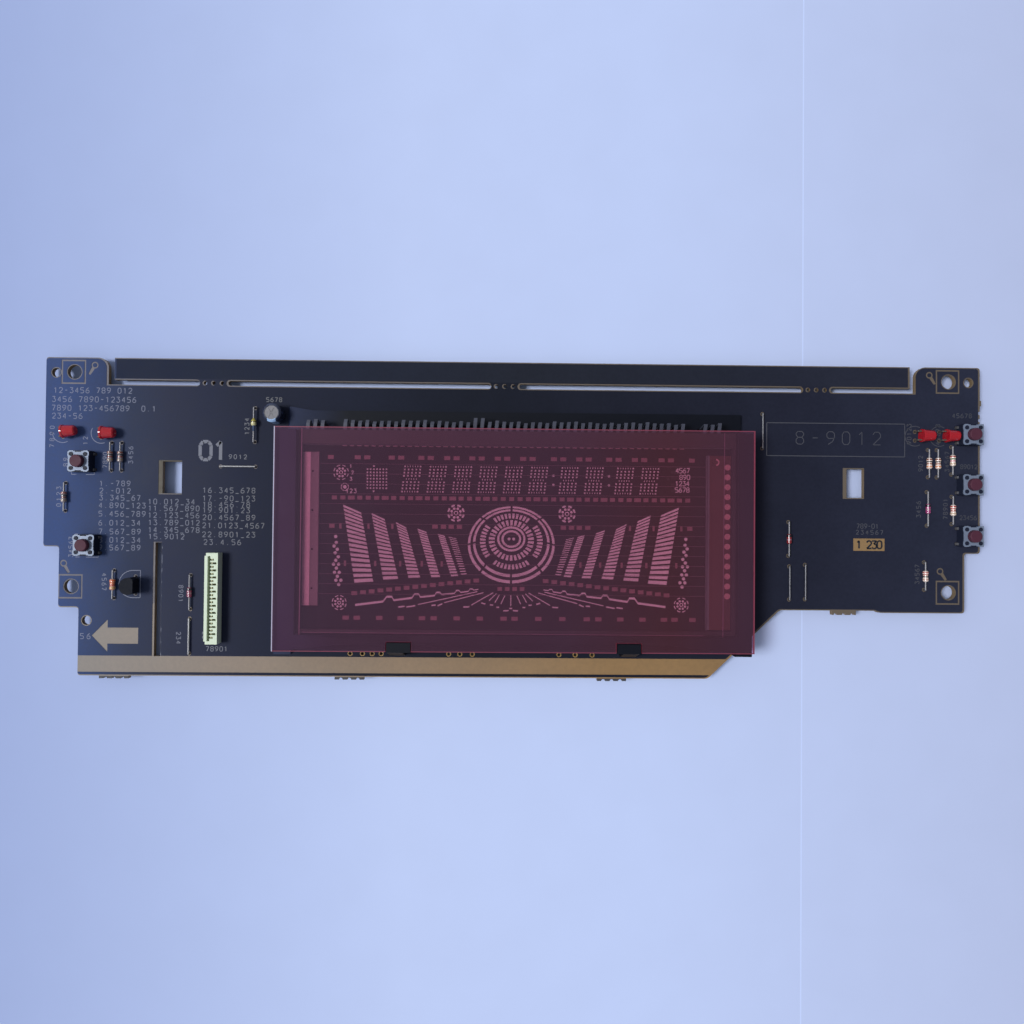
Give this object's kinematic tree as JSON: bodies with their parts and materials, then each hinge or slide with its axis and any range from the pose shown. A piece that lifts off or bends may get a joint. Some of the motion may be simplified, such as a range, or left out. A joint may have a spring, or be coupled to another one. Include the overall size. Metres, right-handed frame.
{
  "type": "display circuit board",
  "caption": "Front panel circuit board with a vacuum fluorescent display under a red filter, push switches, indicator lamps and a flat cable connector; shows and controls a device.",
  "frame": {"origin": "middle of the footprint, on the surface that the cut lead ends stand on", "axes": "+X along the board toward the three stacked switches, +Y across the board toward the rail, +Z from the solder side to the display side"},
  "size_m": [0.2712, 0.092, 0.0139],
  "materials": {
    "laminate": "paper laminate, tan at its cut edges",
    "black_print": "dark navy print, low sheen",
    "green_mask": "green solder mask",
    "copper": "bare copper",
    "solder": "bright solder",
    "holder_black": "black moulded plastic",
    "filter_red": "dark red tinted acrylic",
    "clear_glass": "clear glass",
    "frit": "dark glass frit",
    "ink": "black print inside the display",
    "phosphor": "pale unlit phosphor",
    "tinned": "tinned wire and lead frame",
    "steel": "thin rolled steel",
    "filament": "oxide coated wire",
    "ivory": "pale ivory moulded plastic",
    "switch_black": "black moulded plastic",
    "button_maroon": "dark maroon moulded plastic",
    "lamp_red": "clear red resin",
    "resistor_cream": "cream lacquer with colour bands",
    "diode_glass": "tinted glass with a dark band",
    "bead_yellow": "yellow dipped coating",
    "can_aluminium": "bare aluminium",
    "sleeve_dark": "dark blue printed sleeve",
    "chip_black": "black moulded epoxy"
  },
  "bodies": {
    "board": {"circuit_board": "laminate", "board_print": "black_print", "solder_mask": "green_mask", "copper_pads": "copper", "solder_joints_left": "solder", "solder_joints_connector": "solder", "solder_joints_display": "solder", "solder_joints_middle": "solder", "solder_joints_right": "solder", "display_holder": "holder_black", "display_filter": "filter_red", "front_glass": "clear_glass", "glass_wall": "clear_glass", "glass_seal": "frit", "back_glass": "clear_glass", "anode_print": "ink", "anode_segments": "phosphor", "character_dots": "phosphor", "grid_tabs": "steel", "filament_wires": "filament", "filament_anchors": "steel", "getter": "steel", "display_leads": "tinned", "connector_housing": "ivory", "connector_contacts": "tinned", "switch_bases": "switch_black", "switch_covers": "steel", "switch_domes": "steel", "switch_legs": "tinned", "lamp_1": "lamp_red", "lamp_2": "lamp_red", "lamp_3": "lamp_red", "lamp_4": "lamp_red", "lamp_leads": "tinned", "resistor_1": "resistor_cream", "resistor_2": "resistor_cream", "resistor_3": "resistor_cream", "resistor_4": "resistor_cream", "resistor_5": "resistor_cream", "resistor_6": "resistor_cream", "resistor_7": "resistor_cream", "resistor_8": "resistor_cream", "resistor_9": "resistor_cream", "diode_1": "diode_glass", "diode_2": "diode_glass", "diode_3": "diode_glass", "bead_capacitor": "bead_yellow", "capacitor_can": "can_aluminium", "capacitor_sleeve": "sleeve_dark", "transistor": "chip_black", "component_leads": "tinned", "jumper_wires": "tinned", "driver_chip": "chip_black", "driver_leads": "tinned"},
    "button_1": {"switch_button_1": "button_maroon"},
    "button_2": {"switch_button_2": "button_maroon"},
    "button_3": {"switch_button_3": "button_maroon"},
    "button_4": {"switch_button_4": "button_maroon"},
    "button_5": {"switch_button_5": "button_maroon"}
  },
  "joints": [
    {"name": "press_1", "type": "slide", "parent": "board", "child": "button_1", "axis": [0, 0, 1], "range_m": [-0.00025, 0], "stiffness_N_per_m": 400, "springref_m": 0.001},
    {"name": "press_2", "type": "slide", "parent": "board", "child": "button_2", "axis": [0, 0, 1], "range_m": [-0.00025, 0], "stiffness_N_per_m": 400, "springref_m": 0.001},
    {"name": "press_3", "type": "slide", "parent": "board", "child": "button_3", "axis": [0, 0, 1], "range_m": [-0.00025, 0], "stiffness_N_per_m": 400, "springref_m": 0.001},
    {"name": "press_4", "type": "slide", "parent": "board", "child": "button_4", "axis": [0, 0, 1], "range_m": [-0.00025, 0], "stiffness_N_per_m": 400, "springref_m": 0.001},
    {"name": "press_5", "type": "slide", "parent": "board", "child": "button_5", "axis": [0, 0, 1], "range_m": [-0.00025, 0], "stiffness_N_per_m": 400, "springref_m": 0.001}
  ]
}
